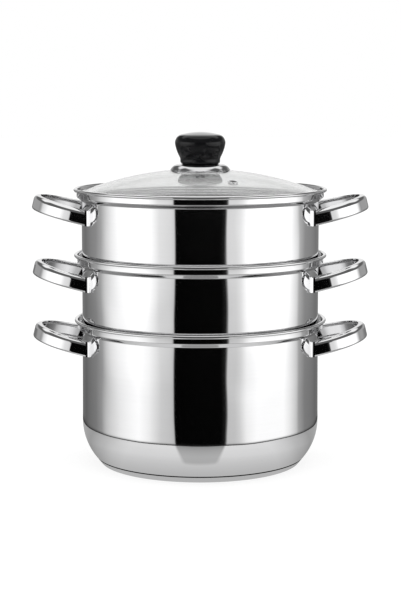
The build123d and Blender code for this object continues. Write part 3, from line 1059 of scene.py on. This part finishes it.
@dataclass
class Studio:
    """The pale floor, the soft light, the reflected room and the camera."""

    camera_distance: float = 1.7089
    camera_height: float = 0.39385
    camera_side: float = 0.0003
    camera_pitch: float = 7.607
    lens: float = 101.19

    # Greys of the room by the angle from the camera's side, in degrees, as steel shows it
    room: Stops = (
        (-175.0, 1.15),
        (-169.0, 0.24),
        (-147.0, 0.175),
        (-132.0, 0.255),
        (-121.0, 0.305),
        (-111.0, 0.45),
        (-103.0, 0.8),
        (-95.0, 1.05),
        (-85.0, 1.3),
        (-62.0, 1.62),
        (-50.0, 1.4),
        (-43.0, 1.15),
        (-38.0, 0.95),
        (-28.0, 0.85),
        (-25.3, 0.75),
        (-24.2, 0.001),
        (20.0, 0.002),
        (25.1, 0.02),
        (26.2, 0.83),
        (34.0, 0.86),
        (39.0, 1.0),
        (46.0, 1.4),
        (56.0, 1.6),
        (88.0, 1.6),
        (97.0, 1.3),
        (107.5, 0.88),
        (111.0, 0.53),
        (122.0, 0.32),
        (134.0, 0.28),
        (152.0, 0.2),
        (171.0, 0.25),
        (176.0, 1.15),
    )

    # Ramps by height, which is 0 straight down, 0.5 level and 1 straight up: the room's shade,
    # the ground under it, the ceiling and the lit panel above it, in front and behind
    room_shades: Stops = ((0.395, 0.76), (0.412, 0.78), (0.43, 0.9), (0.446, 1.0))
    ground: float = 0.33
    ground_share: Stops = ((0.24, 1.0), (0.3, 0.0))
    front_above: Stops = ((0.914, 0.13), (0.941, 1.1))
    front_above_share: Stops = ((0.57, 0.0), (0.635, 1.0))
    back_above: Stops = ((0.62, 0.4), (0.687, 0.13), (0.794, 0.13), (0.835, 1.1))
    back_above_share: Stops = ((0.495, 0.0), (0.51, 1.0))
    glare: float = 0.9
    glare_heights: Stops = ((0.49, 0.0), (0.5, 1.0), (0.8, 1.0), (0.86, 0.0))

    # Ramps by side, which is 0 towards the camera and 1 behind the pot
    glare_sides: Stops = ((0.89, 0.0), (0.93, 1.0))
    back_share: Stops = ((0.56, 0.0), (0.64, 1.0))

    # Light on matt surfaces, and what shows through the glass
    even: float = 0.95
    through_glass: float = 1.0

    # The floor as the camera sees it
    floor_radius: float = 9.0
    floor_sides: int = 96
    floor_glow: float = 0.8
    floor_grey: float = 0.27

    # The floor as steel mirrors it: a glowing white plate, with painted shadow greyer near the pot
    # and towards its sides, a painted wedge of shade in front and a painted dark border that fades
    # outwards
    plate_shift: float = 0.02
    plate_radius: float = 0.245
    plate_border: float = 0.05
    plate_glow: float = 0.9
    plate_painted_dark: float = 0.02
    plate_painted_shadow_greys: Stops = (
        (0.105, 0.6),
        (0.125, 0.74),
        (0.15, 0.9),
        (0.19, 0.96),
        (0.24, 0.98),
    )
    plate_painted_side_shade: Stops = (
        (50.0, 1.0),
        (62.0, 0.88),
        (74.0, 0.7),
        (100.0, 0.45),
        (135.0, 0.5),
        (160.0, 0.85),
    )
    painted_border_shades: Stops = ((0.0, 1.0), (0.2, 0.92), (0.45, 0.4), (0.7, 0.15), (1.0, 0.0))
    wedge_start: float = 0.088
    wedge_slope: float = 0.54
    wedge_sharpness: float = 150.0
    painted_wedge_shades: Stops = ((0.126, 0.0), (0.131, 0.3), (0.215, 0.62))

    # The light over the pot
    softbox_size: float = 1.6
    softbox_power: float = 6.0
    softbox_place: tuple[float, float, float] = (0.0, -0.2, 1.9)

    def build(self) -> None:
        """Builds the studio."""
        self._camera()
        self._world()
        self._floor()
        self._light()
        bpy.context.scene.view_settings.view_transform = "Standard"

    def _camera(self) -> None:
        """Puts the camera at the photograph's viewing angle."""
        data = bpy.data.cameras.new("camera")
        data.lens = self.lens
        camera = bpy.data.objects.new("camera", data)
        camera.location = (self.camera_side, -self.camera_distance, self.camera_height)
        camera.rotation_euler = (math.radians(QUARTER_TURN - self.camera_pitch), 0.0, 0.0)
        bpy.context.scene.collection.objects.link(camera)
        bpy.context.scene.camera = camera

    def _world(self) -> None:
        """Lights the pot evenly and gives steel a room with dark and white sides."""
        world = bpy.data.worlds.new("studio")
        bpy.context.scene.world = world
        shader = Shader(world)
        room = self._room(shader)
        camera, through, glossy = [shader.ray(kind) for kind in ("Camera", "Transmission", "Glossy")]
        light = between(between(self.even, room, glossy), self.through_glass, through)
        white = (1.0, 1.0, 1.0, 1.0)
        inputs = {"Color": white, "Strength": between(light, 1.0, camera)}
        background = shader.node("ShaderNodeBackground", {}, inputs)
        shader.node("ShaderNodeOutputWorld", {}, {"Surface": background}, None)

    def _room(self, shader: Shader) -> Wire:
        """What steel mirrors of the room: its sides, the ground, and the ceiling over them."""
        x, y, z = shader.split(shader.node("ShaderNodeTexCoord", output="Generated"))
        turn = bearing(x, y) / math.tau
        height = z * HALF + HALF
        side = abs(turn) / HALF
        stops = tuple((angle / FULL_TURN + HALF, grey) for angle, grey in self.room)
        sides = shader.ramp(turn + HALF, stops) * shader.ramp(height, self.room_shades)
        sides = between(sides, self.ground, shader.ramp(height, self.ground_share))
        behind = shader.ramp(side, self.back_share)
        front = shader.ramp(height, self.front_above)
        back = shader.ramp(height, self.back_above)
        above = between(front, back, behind)
        glare = shader.ramp(side, self.glare_sides) * shader.ramp(height, self.glare_heights)
        above = above.math("MAXIMUM", above, glare * self.glare)
        front_share = shader.ramp(height, self.front_above_share)
        back_share = shader.ramp(height, self.back_above_share)
        return between(sides, above, between(front_share, back_share, behind))

    def _floor(self) -> None:
        """Lays a white floor that keeps the shadow and is mirrored only near the pot."""
        bpy.ops.object.select_all(action="DESELECT")
        bpy.ops.mesh.primitive_circle_add(
            vertices=self.floor_sides, radius=self.floor_radius, fill_type="NGON"
        )
        floor = bpy.context.object
        floor.name = "floor"
        shader = Shader(bpy.data.materials.new("floor"))
        grey = (self.floor_grey, self.floor_grey, self.floor_grey, 1.0)
        glow = shader.node("ShaderNodeEmission", {}, {"Strength": self.floor_glow})
        matt = shader.node("ShaderNodeBsdfDiffuse", {}, {"Color": grey})
        seen = shader.node("ShaderNodeAddShader", {}, {0: glow, 1: matt})
        inputs = {0: shader.ray("Glossy"), 1: seen, 2: self._plate(shader)}
        surface = shader.node("ShaderNodeMixShader", {}, inputs)
        shader.node("ShaderNodeOutputMaterial", {}, {"Surface": surface}, None)
        dress(floor, shader.owner)

    def _plate(self, shader: Shader) -> Wire:
        """What steel mirrors of the floor: a plate of painted shade with a painted dark border, and
        nothing beyond it.
        """
        x, y, _ = shader.place()
        outside = reach(x, y - self.plate_shift) - self.plate_radius
        across = abs(x)
        turn = bearing(across, y) / math.pi
        # Painted shadow: the plate's grey falls near the pot and towards its sides
        stops = tuple((angle / HALF_TURN, grey) for angle, grey in self.plate_painted_side_shade)
        painted_plate_shade = shader.ramp(reach(x, y), self.plate_painted_shadow_greys) * shader.ramp(turn, stops)
        # Painted shade: a darker wedge on the plate in front of the pot
        inside_wedge = (-y - self.wedge_start) * self.wedge_slope - across
        wedge = (inside_wedge * self.wedge_sharpness + HALF).clamped()
        painted_plate_shade = painted_plate_shade * (1.0 - wedge * shader.ramp(-y, self.painted_wedge_shades))
        on_plate = outside < 0.0
        # Painted shade: a dark border that fades outwards from the plate's edge
        border = shader.ramp(outside / self.plate_border, self.painted_border_shades)
        cover = on_plate + (1.0 - on_plate) * border
        white = shader.node("ShaderNodeEmission", {}, {"Strength": self.plate_glow})
        black = shader.node("ShaderNodeEmission", {}, {"Strength": self.plate_painted_dark})
        clear = shader.node("ShaderNodeBsdfTransparent", {})
        shade = shader.node("ShaderNodeMixShader", {}, {0: painted_plate_shade * on_plate, 1: black, 2: white})
        return shader.node("ShaderNodeMixShader", {}, {0: cover, 1: clear, 2: shade})

    def _light(self) -> None:
        """Hangs a soft light over the pot, which steel doesn't mirror."""
        data = bpy.data.lights.new("softbox", "AREA")
        data.shape = "DISK"
        data.size = self.softbox_size
        data.energy = self.softbox_power
        light = bpy.data.objects.new("softbox", data)
        light.location = self.softbox_place
        light.visible_glossy = False
        bpy.context.scene.collection.objects.link(light)


def main() -> None:
    """Builds every piece in order, then the studio."""
    logging.basicConfig(level=logging.INFO, format="%(message)s")
    palette = Palette.mixed()
    lip = Lip()
    Vessel("pot_shell", "pot", Floor.SOLID, lip).build(palette)
    Vessel("lower_steamer_shell", "lower_steamer", Floor.PERFORATED, lip).build(palette)
    Vessel("upper_steamer_shell", "upper_steamer", Floor.PERFORATED, lip).build(palette)
    Base().build(palette)
    lid = Lid()
    lid.build_glass(palette)
    lid.build_rim(palette)
    lid.build_eyelet(palette)
    knob = Knob()
    knob.build_knob(palette)
    knob.build_dish(palette, lid)
    Handles().build(palette)
    Fittings().build(palette)
    Studio().build()


if __name__ == "__main__":
    main()
